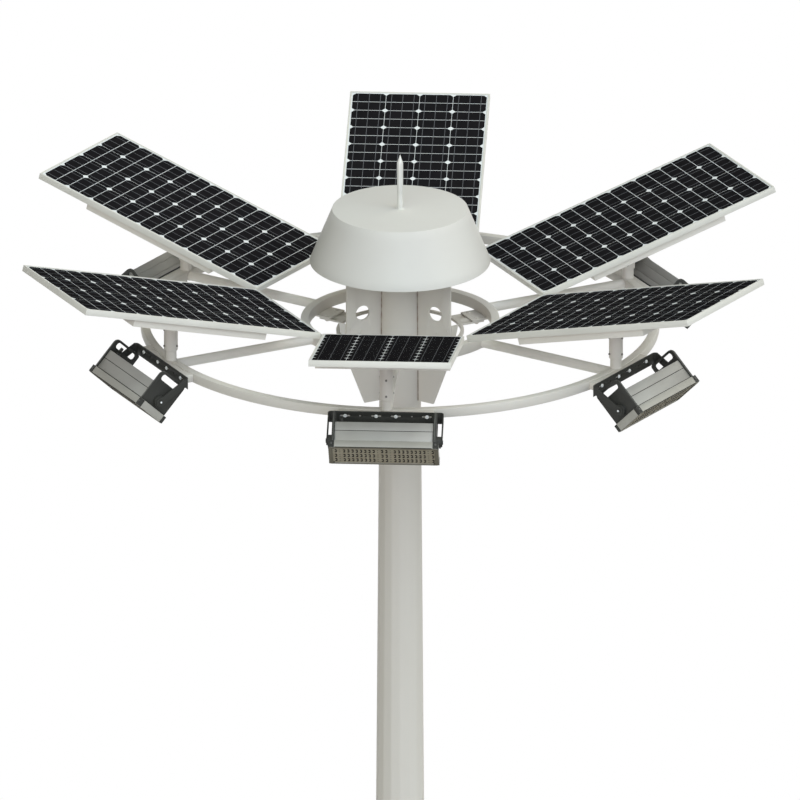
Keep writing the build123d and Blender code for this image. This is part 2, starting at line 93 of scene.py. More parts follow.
def lin(r, g, b):
    """A screen colour from 0 to 255 as the renderer's linear colour."""
    out = []
    for v in (r / 255, g / 255, b / 255):
        out.append(v / 12.92 if v <= 0.04045 else ((v + 0.055) / 1.055) ** 2.4)
    return (*out, 1.0)


# how a finish drifts between its two tones, and how deep its grain is
DRIFT_DETAIL = 5.0
DRIFT_FROM = 0.3
DRIFT_TO = 0.7
GRAIN_DETAIL = 3.0
GRAIN_DEEP = 0.0005


def surface(name, one, two, scale=3.0, stretch=(1, 1, 1), rough=(0.4, 0.5), metal=0.0,
            spec=0.5, bump=0.0, bump_scale=400.0):
    """Material whose colour and gloss drift between two tones in the piece's own space."""
    m = bpy.data.materials.new(name)
    m.use_nodes = True
    tree = m.node_tree
    tree.nodes.clear()
    link = tree.links.new
    out = tree.nodes.new("ShaderNodeOutputMaterial")
    bsdf = tree.nodes.new("ShaderNodeBsdfPrincipled")
    link(bsdf.outputs[0], out.inputs[0])
    coords = tree.nodes.new("ShaderNodeTexCoord")
    place = tree.nodes.new("ShaderNodeMapping")
    place.inputs["Scale"].default_value = stretch
    link(coords.outputs["Object"], place.inputs["Vector"])
    noise = tree.nodes.new("ShaderNodeTexNoise")
    noise.inputs["Scale"].default_value = scale
    noise.inputs["Detail"].default_value = DRIFT_DETAIL
    link(place.outputs[0], noise.inputs["Vector"])
    ramp = tree.nodes.new("ShaderNodeValToRGB")
    ramp.color_ramp.elements[0].position = DRIFT_FROM
    ramp.color_ramp.elements[0].color = lin(*two)
    ramp.color_ramp.elements[1].position = DRIFT_TO
    ramp.color_ramp.elements[1].color = lin(*one)
    link(noise.outputs["Fac"], ramp.inputs["Fac"])
    link(ramp.outputs[0], bsdf.inputs["Base Color"])
    span = tree.nodes.new("ShaderNodeMapRange")
    span.inputs["To Min"].default_value = rough[0]
    span.inputs["To Max"].default_value = rough[1]
    link(noise.outputs["Fac"], span.inputs["Value"])
    link(span.outputs[0], bsdf.inputs["Roughness"])
    bsdf.inputs["Metallic"].default_value = metal
    bsdf.inputs["Specular IOR Level"].default_value = spec
    if bump > 0:
        grain = tree.nodes.new("ShaderNodeTexNoise")
        grain.inputs["Scale"].default_value = bump_scale
        grain.inputs["Detail"].default_value = GRAIN_DETAIL
        link(coords.outputs["Object"], grain.inputs["Vector"])
        relief = tree.nodes.new("ShaderNodeBump")
        relief.inputs["Strength"].default_value = bump
        relief.inputs["Distance"].default_value = GRAIN_DEEP
        link(grain.outputs["Fac"], relief.inputs["Height"])
        link(relief.outputs[0], bsdf.inputs["Normal"])
    return m


# finishes, each drifting between two screen tones
paint = surface("mast_paint", (217, 211, 203), (210, 204, 195), scale=2.2, stretch=(1, 1, 0.35),
                rough=(0.42, 0.55), spec=0.35, bump=0.15, bump_scale=250.0)
# painted light: the rain hat gets the mast's white paint made lighter and cooler, for how the lamps fall on
# the hat
hat_paint_with_painted_light = surface("hat_paint_with_painted_light", (222, 218, 212), (216, 211, 205), scale=2.6, rough=(0.4, 0.5),
                    spec=0.35, bump=0.12, bump_scale=220.0)
# painted light: spokes, posts and trays get the same white paint made lighter, to lift the shade the panels
# cast on them
arm_paint_with_painted_light = surface("arm_paint_with_painted_light", (230, 224, 216), (223, 217, 208), scale=2.4, rough=(0.42, 0.55),
                    spec=0.35, bump=0.15, bump_scale=250.0)
frame_metal = surface("panel_frame_metal", (226, 222, 214), (217, 213, 205), scale=4.0,
                      rough=(0.35, 0.45), spec=0.4)
black = surface("black_powder_coat", (46, 46, 42), (36, 36, 33), scale=9.0, rough=(0.5, 0.62),
                spec=0.35, bump=0.3, bump_scale=900.0)
housing_metal = surface("housing_aluminium", (170, 168, 163), (160, 157, 152), scale=7.0,
                        rough=(0.42, 0.52), metal=0.2, spec=0.3)
lip_metal = surface("module_aluminium", (172, 169, 161), (160, 157, 149), scale=7.0,
                    rough=(0.38, 0.48), metal=0.2, spec=0.3)
face_brown = surface("lens_plate_tone", (166, 157, 138), (150, 141, 122), scale=30.0,
                     rough=(0.5, 0.6), spec=0.1)
lens_dark = surface("lens_well_tone", (52, 45, 36), (40, 35, 28), scale=60.0,
                    rough=(0.4, 0.5), spec=0.1)
bezel_tone = surface("face_rim_tone", (118, 111, 96), (104, 98, 85), scale=20.0,
                     rough=(0.5, 0.6), spec=0.1)
cell_tone = surface("solar_cell", (34, 32, 34), (29, 28, 30), scale=16.0, rough=(0.5, 0.6), spec=0.0)
sheet_tone = surface("panel_back_sheet", (240, 240, 240), (232, 232, 233), scale=8.0,
                     rough=(0.5, 0.6), spec=0.0)
bus_tone = surface("cell_busbar", (118, 118, 121), (106, 106, 110), scale=12.0,
                   rough=(0.4, 0.5), spec=0.0)
zinc = surface("zinc_bolt", (251, 251, 250), (242, 242, 241), scale=80.0, rough=(0.3, 0.42),
               metal=0.1, spec=0.5)
dark_steel = surface("dark_set_screw", (136, 132, 125), (116, 112, 106), scale=90.0,
                     rough=(0.4, 0.5), metal=0.1, spec=0.4)
clip_screw = surface("clip_screw_tone", (96, 95, 92), (80, 79, 76), scale=90.0,
                     rough=(0.45, 0.55), metal=0.1, spec=0.3)
# painted highlight along the end plates' edges
edge_highlight_tone = surface("painted_plate_edge_highlight", (104, 104, 100), (88, 88, 84), scale=40.0,
                    rough=(0.5, 0.6), spec=0.2)
rust_seam = surface("rusty_seam", (180, 171, 160), (146, 130, 117), scale=55.0,
                    rough=(0.6, 0.75), spec=0.2)
spike_metal = surface("spike_metal", (222, 221, 216), (211, 210, 205), scale=14.0,
                      rough=(0.35, 0.45), metal=0.3, spec=0.4)
# dark tone for the module seal, and for painted shade in the housing's grooves and at the lens plate's edges
seal_and_shade_tone = surface("module_seal", (44, 43, 40), (34, 33, 31), scale=20.0, rough=(0.6, 0.7), spec=0.2)

# CAD pieces: the finish of each node
FINISH = {
    "base_flange": paint, "base_ribs": paint, "mast_lower_section": paint,
    "mast_upper_section": paint, "door_frame": paint, "access_door": paint,
    "rain_hat": hat_paint_with_painted_light, "lightning_spike": spike_metal, "gusset_plates": paint,
    "hub_sleeve": paint,
    "hoop": paint, "hoop_lugs": paint, "tie_plates": paint, "inner_ring": paint,
    # spokes, posts and trays take the lightened paint: painted light against the panels' shade
    "spokes": arm_paint_with_painted_light, "outer_ring": paint, "lamp_pads": paint, "post_stubs": arm_paint_with_painted_light,
    "post_sleeves": arm_paint_with_painted_light, "panel_trays": arm_paint_with_painted_light, "panel_frames": frame_metal,
    "lamp_yokes": black,
}
for number in range(1, ARMS + 1):
    stem = "lamp_%d_" % number
    FINISH[stem + "housing"] = housing_metal
    FINISH[stem + "end_plates"] = black
    FINISH[stem + "led_module"] = lip_metal

# softened edges and smooth round walls
CREASE = radians(28.0)
JOIN_WITHIN = 0.00002


def crisp_group():
    """Modifier that shades round walls smooth and leaves sharper edges crisp."""
    group = bpy.data.node_groups.new("crisp_edges", "GeometryNodeTree")
    group.is_modifier = True
    group.interface.new_socket("Geometry", in_out="INPUT", socket_type="NodeSocketGeometry")
    group.interface.new_socket("Geometry", in_out="OUTPUT", socket_type="NodeSocketGeometry")
    start = group.nodes.new("NodeGroupInput")
    end = group.nodes.new("NodeGroupOutput")
    fold = group.nodes.new("GeometryNodeInputMeshEdgeAngle")
    gentle = group.nodes.new("FunctionNodeCompare")
    gentle.operation = "LESS_THAN"
    gentle.inputs[1].default_value = CREASE
    faces = group.nodes.new("GeometryNodeSetShadeSmooth")
    faces.domain = "FACE"
    edges = group.nodes.new("GeometryNodeSetShadeSmooth")
    edges.domain = "EDGE"
    group.links.new(fold.outputs["Unsigned Angle"], gentle.inputs[0])
    group.links.new(start.outputs[0], faces.inputs["Geometry"])
    group.links.new(faces.outputs[0], edges.inputs["Geometry"])
    group.links.new(gentle.outputs[0], edges.inputs["Shade Smooth"])
    group.links.new(edges.outputs[0], end.inputs[0])
    return group


crisp = crisp_group()


def soften(obj, width):
    """Join split corners, round the sharp edges a little and keep flat faces flat."""
    weld = obj.modifiers.new("join", "WELD")
    weld.merge_threshold = JOIN_WITHIN
    if width > 0:
        edge = obj.modifiers.new("edge", "BEVEL")
        edge.width = width
        edge.segments = 2
        edge.limit_method = "ANGLE"
        edge.angle_limit = CREASE
        edge.use_clamp_overlap = True
    shade = obj.modifiers.new("crisp", "NODES")
    shade.node_group = crisp


LAMP_EDGE = 0.0006
EDGE = {
    "rain_hat": 0.0008, "outer_ring": 0.003, "inner_ring": 0.003, "hoop": 0.0015,
    "gusset_plates": 0.0008, "tie_plates": 0.0008, "lamp_pads": 0.002, "panel_frames": 0.0005,
    "panel_trays": 0.0006, "lamp_yokes": 0.0007, "base_flange": 0.0, "hoop_lugs": 0.0006,
}
for name, finish in FINISH.items():
    obj = nodes[name]
    obj.data.materials.clear()
    obj.data.materials.append(finish)
    width = EDGE.get(name, 0.0)
    if name.startswith("lamp_") and name[5].isdigit():
        width = LAMP_EDGE
    soften(obj, width)


def mesh_object(name, body, finish, build, place=None):
    """New piece made by build(bm), placed by a matrix, riding a CAD body."""
    bm = bmesh.new()
    build(bm)
    bmesh.ops.recalc_face_normals(bm, faces=bm.faces)
    mesh = bpy.data.meshes.new(name)
    bm.to_mesh(mesh)
    bm.free()
    if place is not None:
        mesh.transform(place)
    finishes = finish if isinstance(finish, (list, tuple)) else [finish]
    for one in finishes:
        mesh.materials.append(one)
    obj = bpy.data.objects.new(name, mesh)
    bpy.context.scene.collection.objects.link(obj)
    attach(obj, body)
    return obj


def box(bm, lo, hi, mat=0):
    """Axis-aligned block between two corners."""
    lo, hi = Vector(lo), Vector(hi)
    made = bmesh.ops.create_cube(bm, size=1.0)
    size = hi - lo
    for v in made["verts"]:
        x, y, z = v.co
        v.co = Vector(((x + 0.5) * size.x, (y + 0.5) * size.y, (z + 0.5) * size.z)) + lo
    for f in {f for v in made["verts"] for f in v.link_faces}:
        f.material_index = mat


def slab(bm, points, drop, mat=0):
    """Thin closed plate between an outline and the same outline shifted by drop."""
    top = [bm.verts.new(p) for p in points]
    low = [bm.verts.new(Vector(p) + Vector(drop)) for p in points]
    faces = [bm.faces.new(top), bm.faces.new(list(reversed(low)))]
    for n in range(len(points)):
        m = (n + 1) % len(points)
        faces.append(bm.faces.new((top[m], top[n], low[n], low[m])))
    for face in faces:
        face.material_index = mat


def turned(bm, rings, sides, place, mat=0, smooth=True):
    """Solid of revolution about local Z from (radius, height) pairs, closed at both ends."""
    loops = []
    for radius, height in rings:
        loop = []
        for n in range(sides):
            a = 2 * pi * n / sides
            loop.append(bm.verts.new(place @ Vector((radius * cos(a), radius * sin(a), height))))
        loops.append(loop)
    for low, high in zip(loops, loops[1:]):
        for n in range(sides):
            face = bm.faces.new((low[n], low[(n + 1) % sides], high[(n + 1) % sides], high[n]))
            face.material_index = mat
            face.smooth = smooth
    bottom = bm.faces.new(list(reversed(loops[0])))
    top = bm.faces.new(loops[-1])
    bottom.material_index = mat
    top.material_index = mat


# a bolt head's corners start to fall off at a share of its height, to a share of its width
CHAMFER_FROM = 0.82
CHAMFER_TO = 0.88


def hex_bolt(bm, place, flats, tall, washer=0.0, washer_t=0.0015, mat=0):
    """Hexagon head on a washer; local Z points out of the face it sits on."""
    base = 0.0
    if washer > 0:
        turned(bm, [(washer / 2, 0.0), (washer / 2, washer_t)], 20, place, mat, smooth=False)
        base = washer_t
    r = flats / 2 / cos(pi / 6)
    rings = [(r, base), (r, base + tall * CHAMFER_FROM), (r * CHAMFER_TO, base + tall)]
    turned(bm, rings, 6, place, mat, smooth=False)


def bead(bm, place, radius, thick, steps=40):
    """Weld bead: a slightly uneven ring of round section about local Z."""
    loops = []
    for n in range(steps):
        a = 2 * pi * n / steps
        wobble = thick * (1 + 0.12 * sin(a * 11) + 0.08 * sin(a * 23))
        loop = []
        for k in range(6):
            b = 2 * pi * k / 6
            r = radius + wobble * cos(b)
            loop.append(bm.verts.new(place @ Vector((r * cos(a), r * sin(a), wobble * sin(b)))))
        loops.append(loop)
    for n in range(steps):
        one, two = loops[n], loops[(n + 1) % steps]
        for k in range(6):
            face = bm.faces.new((one[k], two[k], two[(k + 1) % 6], one[(k + 1) % 6]))
            face.smooth = True


def straight_bead(bm, start, end, thick):
    """Straight weld bead between two points, of six-sided section."""
    start, end = Vector(start), Vector(end)
    along = (end - start).normalized()
    side = along.orthogonal().normalized()
    other = along.cross(side)
    steps = max(2, int((end - start).length / 0.02))
    loops = []
    for n in range(steps + 1):
        mid = start.lerp(end, n / steps)
        wobble = thick * (1 + 0.15 * sin(n * 1.9) + 0.1 * sin(n * 4.3))
        loop = []
        for k in range(6):
            spoke = cos(pi * k / 3) * side + sin(pi * k / 3) * other
            loop.append(bm.verts.new(mid + wobble * spoke))
        loops.append(loop)
    for one, two in zip(loops, loops[1:]):
        for k in range(6):
            face = bm.faces.new((one[k], two[k], two[(k + 1) % 6], one[(k + 1) % 6]))
            face.smooth = True
    for cap in (loops[0], loops[-1]):
        bm.faces.new(cap)


def spin(arm):
    """Turn from the front arm to the given one."""
    return Matrix.Rotation(radians(360.0 / ARMS * arm), 4, "Z")


def panel_place(arm):
    """Panel's own frame: X across, Y outward and upward, Z square to the glass."""
    lean = Matrix.Rotation(radians(-PANEL_TILT), 4, "X") @ Matrix.Rotation(pi, 4, "Z")
    return spin(arm) @ Matrix.Translation((0, -PANEL_MID_R, RING_TOP + PANEL_MID_AT)) @ lean


def lamp_place(arm):
    """Floodlight's own frame: X across, -Y out of the lit face, Z toward its upper edge."""
    lean = Matrix.Rotation(radians(90 - LAMP_TILTS[arm]), 4, "X")
    return spin(arm) @ Matrix.Translation((0, -PIVOT_R, RING_TOP + PIVOT_AT)) @ lean


# solar laminate: white back sheet, dark half-cut cells with clipped corners, busbars
SHEET_AT = -0.0021
CELL_AT = -0.0018
BUS_AT = -0.0016
COLUMN_GAP = 0.0020
ROW_GAP = 0.0032
CLIP = 0.0145
SHEET_BACK = -0.0062
SHEET_INSET = 0.002
BUS_HALF = 0.0011


def laminate(bm):
    """White sheet with its half-cut cells and three busbars to a column of cells."""
    half_x, half_y = PANEL_WIDE / 2 - SHEET_INSET, PANEL_LONG / 2 - SHEET_INSET
    box(bm, (-half_x, -half_y, SHEET_BACK), (half_x, half_y, SHEET_AT), 0)
    long_half = CELLS_ALONG * CELL_ALONG / 2
    near = ROW_GAP / 2
    a, b = (CELL_ACROSS - COLUMN_GAP) / 2, (CELL_ALONG - ROW_GAP) / 2
    outline = [(-a, near), (a, near), (a, b - CLIP), (a - CLIP, b), (-a + CLIP, b), (-a, b - CLIP)]
    for i in range(CELLS_ACROSS):
        cx = (i - (CELLS_ACROSS - 1) / 2) * CELL_ACROSS
        for j in range(CELLS_ALONG):
            cy = (j - (CELLS_ALONG - 1) / 2) * CELL_ALONG
            for part in (-1, 1):
                points = [(cx + x, cy + part * y, CELL_AT) for x, y in outline]
                if part < 0:
                    points.reverse()
                slab(bm, points, (0, 0, SHEET_AT - CELL_AT), 1)
        for s in (-1, 0, 1):
            bx = cx + s * CELL_ACROSS / 3
            box(bm, (bx - BUS_HALF, -long_half, SHEET_AT), (bx + BUS_HALF, long_half, BUS_AT), 2)


for arm in range(ARMS):
    piece = mesh_object("solar_laminate_%d" % (arm + 1), "mast", [sheet_tone, cell_tone, bus_tone],
                        laminate, panel_place(arm))
    if arm == 0:
        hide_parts("panel_laminates")


# floodlight faces: lens plate with rows of lens wells, rim, corner clips
LENS_COLUMNS = 24
LENS_PITCH = 0.0199
LENS_SHIFT = 0.003
PLAIN_COLUMNS = (1, 10, 13, 22)
ROW_GROUPS = (-0.046, -0.002, 0.044)
ROW_PAIR = 0.0105
LENS_DEEP = 0.005
RIM_SIDE = 0.0092
RIM_END = 0.019
RIM_ROUND = 0.012
TILE_ACROSS = 0.0086
TILE_UP = 0.0195
WELL = [(0.0058, 0.0), (0.0050, 0.0011), (0.0024, 0.0016)]
WELL_SHIFT = 0.0005
# depths in front of the lens plate's back
PLATE_FRONT = 0.002
TILE_LAYER = (0.0019, 0.0028)
MARK_LAYER = (0.0027, 0.0031)
BRIDGE_LAYER = (0.0027, 0.0034)
# reach of a faint mark to either side, and of the dark bridge between two wells
MARK_REACH = (-0.004, 0.003)
BRIDGE_REACH = (0.0012, 0.0062)


def lens_face(bm):
    """Lens plate with pairs of dark wells, and faint marks in the plain columns."""
    out = -(FACE_OUT - LENS_DEEP)
    a, b = FACE_LONG / 2 - RIM_SIDE, FACE_HALF - RIM_SIDE
    box(bm, (-a, out - PLATE_FRONT, -b), (a, out, b), 0)
    to_front = Matrix.Rotation(pi / 2, 4, "X")

    def layer(x_reach, depths, z_reach, mat):
        """Flat block between two depths in front of the plate's back."""
        box(bm, (x_reach[0], out - depths[1], z_reach[0]), (x_reach[1], out - depths[0], z_reach[1]), mat)

    for i in range(LENS_COLUMNS):
        x = (i - (LENS_COLUMNS - 1) / 2) * LENS_PITCH + LENS_SHIFT
        for g in ROW_GROUPS:
            layer((x - TILE_ACROSS, x + TILE_ACROSS), TILE_LAYER, (g - TILE_UP, g + TILE_UP), 0)
            rows = [g + s * ROW_PAIR for s in (-1, 1)]
            if i in PLAIN_COLUMNS:
                for z in rows:
                    layer([x + r for r in MARK_REACH], MARK_LAYER, [z + r for r in MARK_REACH], 2)
                continue
            for z in rows:
                spot = Matrix.Translation((x + WELL_SHIFT, out - TILE_LAYER[1], z))
                turned(bm, WELL, 10, spot @ to_front, 1)
            layer([x + r for r in BRIDGE_REACH], BRIDGE_LAYER, rows, 1)


CLIP_LONG = 0.027
CLIP_TALL = 0.016
CLIP_PROUD = 0.0008
CLIP_SUNK = 0.001
CLIP_BACK = -0.0405
CLIP_BOLT_IN = 0.014
CLIP_BOLT_OUT = -0.056
CLIP_BOLT = {"flats": 0.010, "tall": 0.003}


def corner_clips(bm):
    """Black clip over each corner of the light module, with its screw."""
    a, b = FACE_LONG / 2, FACE_HALF
    for sx in (-1, 1):
        for sz in (-1, 1):
            x0, x1 = sorted((sx * (a - CLIP_LONG), sx * (a + CLIP_PROUD)))
            z0, z1 = sorted((sz * (b - CLIP_TALL), sz * (b + CLIP_PROUD)))
            box(bm, (x0, -(FACE_OUT - CLIP_SUNK), z0), (x1, CLIP_BACK, z1), 0)
            seat = Matrix.Translation((sx * (a - CLIP_BOLT_IN), CLIP_BOLT_OUT, sz * (b + CLIP_PROUD)))
            turn = Matrix.Rotation(0 if sz > 0 else pi, 4, "X")
            hex_bolt(bm, seat @ turn, **CLIP_BOLT, mat=1)


RIM_PROUD = 0.0008
RIM_SUNK = 0.0002
RIM_STEPS = 4
RIM_JOIN_WITHIN = 0.00001


def face_rim(bm):
    """Brown rim plate over the module's edge, open over the lenses, with round corners."""
    a, b, r = FACE_LONG / 2, FACE_HALF, RIM_ROUND
    front, back = -(FACE_OUT + RIM_PROUD), -(FACE_OUT - RIM_SUNK)
    outer, inner = [], []
    for cx, cz, start in ((1, 1, 0), (-1, 1, 90), (-1, -1, 180), (1, -1, 270)):
        for n in range(RIM_STEPS + 1):
            t = radians(start + 90 * n / RIM_STEPS)
            outer.append((cx * (a - r) + r * cos(t), cz * (b - r) + r * sin(t)))
            inner.append((cx * (a - RIM_END), cz * (b - RIM_SIDE)))
    count = len(outer)
    ring = []
    for depth in (front, back):
        ring.append([bm.verts.new((x, depth, z)) for x, z in outer])
        ring.append([bm.verts.new((x, depth, z)) for x, z in inner])
    fo, fi, bo, bi = ring
    for n in range(count):
        m = (n + 1) % count
        bm.faces.new((fo[n], fo[m], fi[m], fi[n]))
        bm.faces.new((bo[m], bo[n], bi[n], bi[m]))
        bm.faces.new((fo[m], fo[n], bo[n], bo[m]))
        bm.faces.new((fi[n], fi[m], bi[m], bi[n]))
    bmesh.ops.remove_doubles(bm, verts=bm.verts, dist=RIM_JOIN_WITHIN)


PIVOT_FACE = 0.2768
PIVOT_STUD = [(0.0048, 0.0), (0.0048, 0.001), (0.004, 0.0016)]


def pivot_trim(bm):
    """Zinc stud end in the middle of each pivot bolt."""
    for side in (-1, 1):
        spot = Matrix.Translation((side * PIVOT_FACE, 0, 0))
        turned(bm, PIVOT_STUD, 16, spot @ Matrix.Rotation(side * pi / 2, 4, "Y"))


# the seal strip is a gasket; the groove and edge-line strips are painted shade
SEAL_WIDE = (-0.0400, -0.0362)
GROOVE_WIDE = (0.0158, 0.0180)
SEAL_SUNK = 0.0005
SEAL_PROUD = 0.0003
EDGE_LINE_IN = 0.03
EDGE_LINE_DEPTHS = (0.0002, 0.0040)
EDGE_LINE_SHARES = (0.995, 1.006)


def seal_and_shade_strips(bm):
    """Dark strips: the seal from housing to module, and painted shade in the side grooves and along the lens
    plate's long edges.
    """
    for up, face in ((BODY_UP, 1), (BODY_DOWN, -1)):
        lo, hi = sorted((up - face * SEAL_SUNK, up + face * SEAL_PROUD))
        for near, far in (SEAL_WIDE, GROOVE_WIDE):
            box(bm, (-PLATE_IN, near, lo), (PLATE_IN, far, hi))
    reach = FACE_LONG / 2 - EDGE_LINE_IN
    front, back = [depth - FACE_OUT for depth in EDGE_LINE_DEPTHS]
    for edge in (-FACE_HALF, FACE_HALF):
        lo, hi = sorted(edge * share for share in EDGE_LINE_SHARES)
        box(bm, (-reach, front, lo), (reach, back, hi))


# where the painted highlight line lies on each end plate's edge
TRIM_FROM = 0.2365
TRIM_TO = 0.2405
TRIM_LIFT = 0.0004
ROUND_UP = 0.026
ROUND_DOWN = 0.014
ROUND_STEPS = 6
# a depth inside the plate's outline, to tell which way is out
PLATE_HEART = 0.04


def plate_trim(bm):
    """Painted highlight: a lighter line along the edge of each end plate, for the light caught by its
    chamfer.
    """
    back, front, top, low = -END_BACK, -END_FRONT, END_UP, END_DOWN
    line = [(front, top)]
    for r, cz, start in ((ROUND_UP, top - ROUND_UP, 90), (ROUND_DOWN, low + ROUND_DOWN, 0)):
        for n in range(ROUND_STEPS + 1):
            t = radians(start - 90 * n / ROUND_STEPS)
            line.append((back - r + r * cos(t), cz + r * sin(t)))
    line.append((front, low))
    for side in (-1, 1):
        x0, x1 = sorted((side * TRIM_FROM, side * TRIM_TO))
        for (y0, z0), (y1, z1) in zip(line, line[1:]):
            across = Vector((0, z1 - z0, y0 - y1)).normalized()
            outward = -1 if across.dot(Vector((0, y0 - PLATE_HEART, z0))) < 0 else 1
            lift = outward * TRIM_LIFT * across
            corners = ((x0, y0, z0), (x1, y0, z0), (x1, y1, z1), (x0, y1, z1))
            points = [Vector(corner) + lift for corner in corners]
            slab(bm, points, -2 * lift)


GLAND_AT = (-0.205, 0.0618, 0.045)
GLAND_NUT = 0.012
GLAND_BODY = [(0.0085, GLAND_NUT), (0.0085, 0.034), (0.0065, 0.041)]


def cable_gland(bm):
    """Gland on the housing's back, near its left end, for the lamp's supply."""
    seat = Matrix.Translation(GLAND_AT) @ Matrix.Rotation(-pi / 2, 4, "X")
    hex_bolt(bm, seat, 0.022, GLAND_NUT)
    turned(bm, GLAND_BODY, 16, seat)


LAMP_PARTS = (
    ("corner_clips", [black, clip_screw], corner_clips, "black_powder"),
    ("face_rim", bezel_tone, face_rim, "lens_polycarbonate"),
    ("pivot_stud", zinc, pivot_trim, "bare_steel"),
    ("module_seal", seal_and_shade_tone, seal_and_shade_strips, "black_powder"),
    ("plate_trim", edge_highlight_tone, plate_trim, "black_powder"),
    ("cable_gland", black, cable_gland, "black_powder"),
)
for arm in range(ARMS):
    body = "floodlight_%d" % (arm + 1)
    tag = "_%d" % (arm + 1)
    place = lamp_place(arm)
    lens = mesh_object("lens_array" + tag, body, [face_brown, lens_dark, bezel_tone], lens_face,
                       place)
    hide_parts("lamp_%d_lens_plate" % (arm + 1))
    for stem, finish, build, slot in LAMP_PARTS:
        mesh_object(stem + tag, body, finish, build, place)


# bolts that hold the yokes, tie plates, lugs and sleeves
YOKE_BOLT = {"flats": 0.013, "tall": 0.004, "washer": 0.0175, "washer_t": 0.0012}
TIE_HEAD = {"flats": 0.015, "tall": 0.005}
TIE_NUT = {"flats": 0.018, "tall": 0.009, "washer": 0.024, "washer_t": 0.002}
LUG_HEAD = {"flats": 0.011, "tall": 0.004}


def yoke_bolts(bm):
    """Bolt heads on washers in the yokes' keyhole slots."""
    to_front = Matrix.Rotation(pi / 2, 4, "X")
    for arm in range(ARMS):
        for side in (-1, 1):
            for at in YOKE_BOLT_AT:
                face = -(PAD_FACE_R + YOKE_SHEET)
                spot = Matrix.Translation((side * at, face, RING_TOP + YOKE_BAR_AT))
                hex_bolt(bm, spin(arm) @ spot @ to_front, **YOKE_BOLT)


def tie_bolts(bm):
    """Two bolts through each tie plate's lap: low heads above, nuts on washers below."""
    for arm in TIE_ARMS:
        for side in (-1, 1):
            x, top = side * TIE_BOLT_SIDE / 2, RING_TOP + TIE_TOP
            hex_bolt(bm, spin(arm) @ Matrix.Translation((x, -TIE_MID_R, top)), **TIE_HEAD)
            under = Matrix.Translation((x, -TIE_MID_R, top - TIE_DEEP)) @ Matrix.Rotation(pi, 4, "X")
            hex_bolt(bm, spin(arm) @ under, **TIE_NUT)


LUG_SIDES = (1, 1, -1)
LUG_BOLTS_AT = ((0.268, -0.006), (0.210, -0.029))
LUG_FACE = 0.011
GUSSET_FACE = 0.005


def lug_bolts(bm):
    """Two bolts through each lug and its gusset, with a head or nut on each face."""
    for arm, side in zip(GUSSET_ARMS, LUG_SIDES):
        for r, z in LUG_BOLTS_AT:
            for face, reach in ((side, LUG_FACE), (-side, GUSSET_FACE)):
                spot = Matrix.Translation((face * reach, -r, RING_TOP + z))
                turn = Matrix.Rotation(face * pi / 2, 4, "Y")
                hex_bolt(bm, spin(arm) @ spot @ turn, **LUG_HEAD)


SCREW_SUNK = 0.001
SCREW_NUT = [(0.0058, 0.0), (0.0058, 0.0032)]
SCREW_END = [(0.0040, 0.0032), (0.0040, 0.0068)]


def set_screws(bm):
    """Three set screws round each sleeve, at two levels."""
    for arm in range(ARMS):
        for level in SCREW_LEVELS:
            for third in range(3):
                turn = Matrix.Rotation(2 * pi / 3 * third - pi / 2, 4, "Z")
                seat = Matrix.Translation((SLEEVE_R - SCREW_SUNK, 0, 0)) @ Matrix.Rotation(pi / 2, 4, "Y")
                spot = spin(arm) @ Matrix.Translation((0, -POST_R, RING_TOP + level)) @ turn @ seat
                turned(bm, SCREW_NUT, 6, spot, smooth=False)
                turned(bm, SCREW_END, 12, spot, smooth=False)


mesh_object("yoke_bolts", "mast", zinc, yoke_bolts)
mesh_object("tie_bolts", "mast", paint, tie_bolts)
mesh_object("lug_bolts", "mast", paint, lug_bolts)
mesh_object("set_screws", "mast", dark_steel, set_screws)


# weld beads under the paint
BEAD_PROUD = 0.0005
SPOKE_BEAD = 0.0026
POST_BEAD = 0.0028


def welds(bm):
    """Beads at both ends of the spokes and round the posts' feet."""
    to_front = Matrix.Rotation(pi / 2, 4, "X")
    for arm in range(ARMS):
        for r in (INNER_R + BEAD_PROUD, RING_R - RING_WIDE - BEAD_PROUD):
            lay = Matrix.Translation((0, -r, RING_TOP + SPOKE_AXIS)) @ to_front
            bead(bm, spin(arm) @ lay, SPOKE_R, SPOKE_BEAD)
        foot = Matrix.Translation((0, -POST_R, RING_TOP + RING_UP + BEAD_PROUD))
        bead(bm, spin(arm) @ foot, STUB_R, POST_BEAD)


def shaft_radius(level):
    """Flat-to-axis distance of the hub sleeve's outside at a height."""
    corner = BASE_DIA / 2 + SLEEVE_SKIN / cos(pi / SHAFT_SIDES) - TAPER * level / 2
    return corner * cos(pi / SHAFT_SIDES)


SEAM_SIDE = 0.0065
SEAM_OUT = 0.0022


def gusset_seams(bm, arms):
    """Upright beads on both faces of the gussets, where they meet the hub sleeve."""
    low, high = RING_TOP + GUSSET_FOOT, RING_TOP + GUSSET_HEAD
    for arm in arms:
        turn = spin(arm)
        for side in (-1, 1):
            ends = [turn @ Vector((side * SEAM_SIDE, -(shaft_radius(z) + SEAM_OUT), z)) for z in (low, high)]
            straight_bead(bm, *ends, POST_BEAD)


mesh_object("weld_beads", "mast", paint, welds)
mesh_object("gusset_welds", "mast", paint, lambda bm: gusset_seams(bm, (3,)))
mesh_object("gusset_welds_stained", "mast", rust_seam, lambda bm: gusset_seams(bm, (1, 5)))

